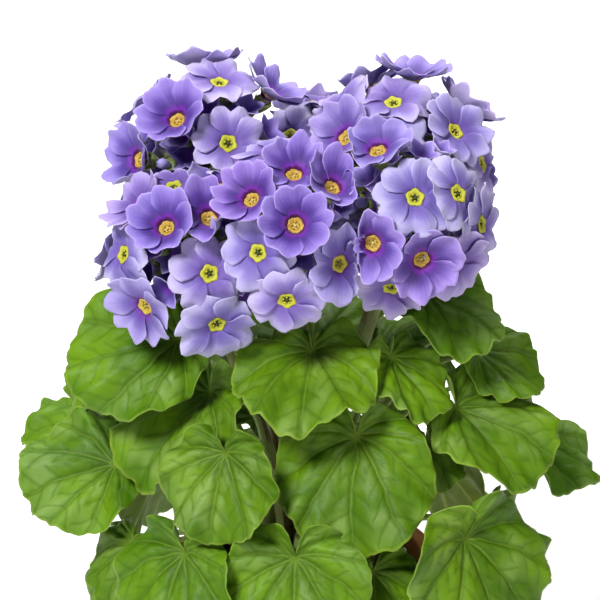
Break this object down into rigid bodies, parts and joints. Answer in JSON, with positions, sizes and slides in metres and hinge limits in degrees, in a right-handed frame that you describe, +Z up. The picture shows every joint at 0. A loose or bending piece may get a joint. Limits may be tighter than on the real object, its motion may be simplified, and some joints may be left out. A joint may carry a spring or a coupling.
{
  "type": "potted german primrose",
  "caption": "German primrose in flower: a mound of broad wavy leaves under a dense double-domed head of violet-blue flowers, in a plain clay pot",
  "frame": {"origin": "centre of the pot's underside, on the surface that the pot stands on", "axes": "+Z up along the pot's axis, -Y to the side that faces the viewer, +X to the viewer's right"},
  "size_m": [0.2874, 0.2438, 0.3706],
  "materials": {
    "clay": "matt unglazed clay",
    "soil": "crumbly peat",
    "leaf": "satin leaf",
    "stem": "satin stem",
    "petal": "velvety petal"
  },
  "bodies": {
    "root": {"pot": "clay", "potting_soil": "soil", "leaf_01": "leaf", "leaf_02": "leaf", "leaf_03": "leaf", "leaf_04": "leaf", "leaf_05": "leaf", "leaf_06": "leaf", "leaf_07": "leaf", "leaf_08": "leaf", "leaf_09": "leaf", "leaf_10": "leaf", "leaf_11": "leaf", "leaf_12": "leaf", "leaf_13": "leaf", "leaf_14": "leaf", "leaf_15": "leaf", "leaf_16": "leaf", "leaf_17": "leaf", "leaf_18": "leaf", "leaf_19": "leaf", "leaf_20": "leaf", "leaf_21": "leaf", "leaf_22": "leaf", "leaf_23": "leaf", "leaf_24": "leaf", "leaf_25": "leaf", "leaf_26": "leaf", "leaf_27": "leaf", "leaf_28": "leaf", "leaf_29": "leaf", "leaf_30": "leaf", "leaf_31": "leaf", "leaf_32": "leaf", "flower_stem_1": "stem", "flower_stem_2": "stem", "flower_stem_3": "stem", "flower_stem_4": "stem", "flower_stem_5": "stem", "flower_stem_6": "stem", "flower_stem_7": "stem", "flower_stem_8": "stem", "umbel_1": "petal", "umbel_2": "petal", "umbel_3": "petal", "umbel_4": "petal", "umbel_5": "petal", "umbel_6": "petal", "umbel_7": "petal", "umbel_8": "petal"}
  },
  "joints": []
}
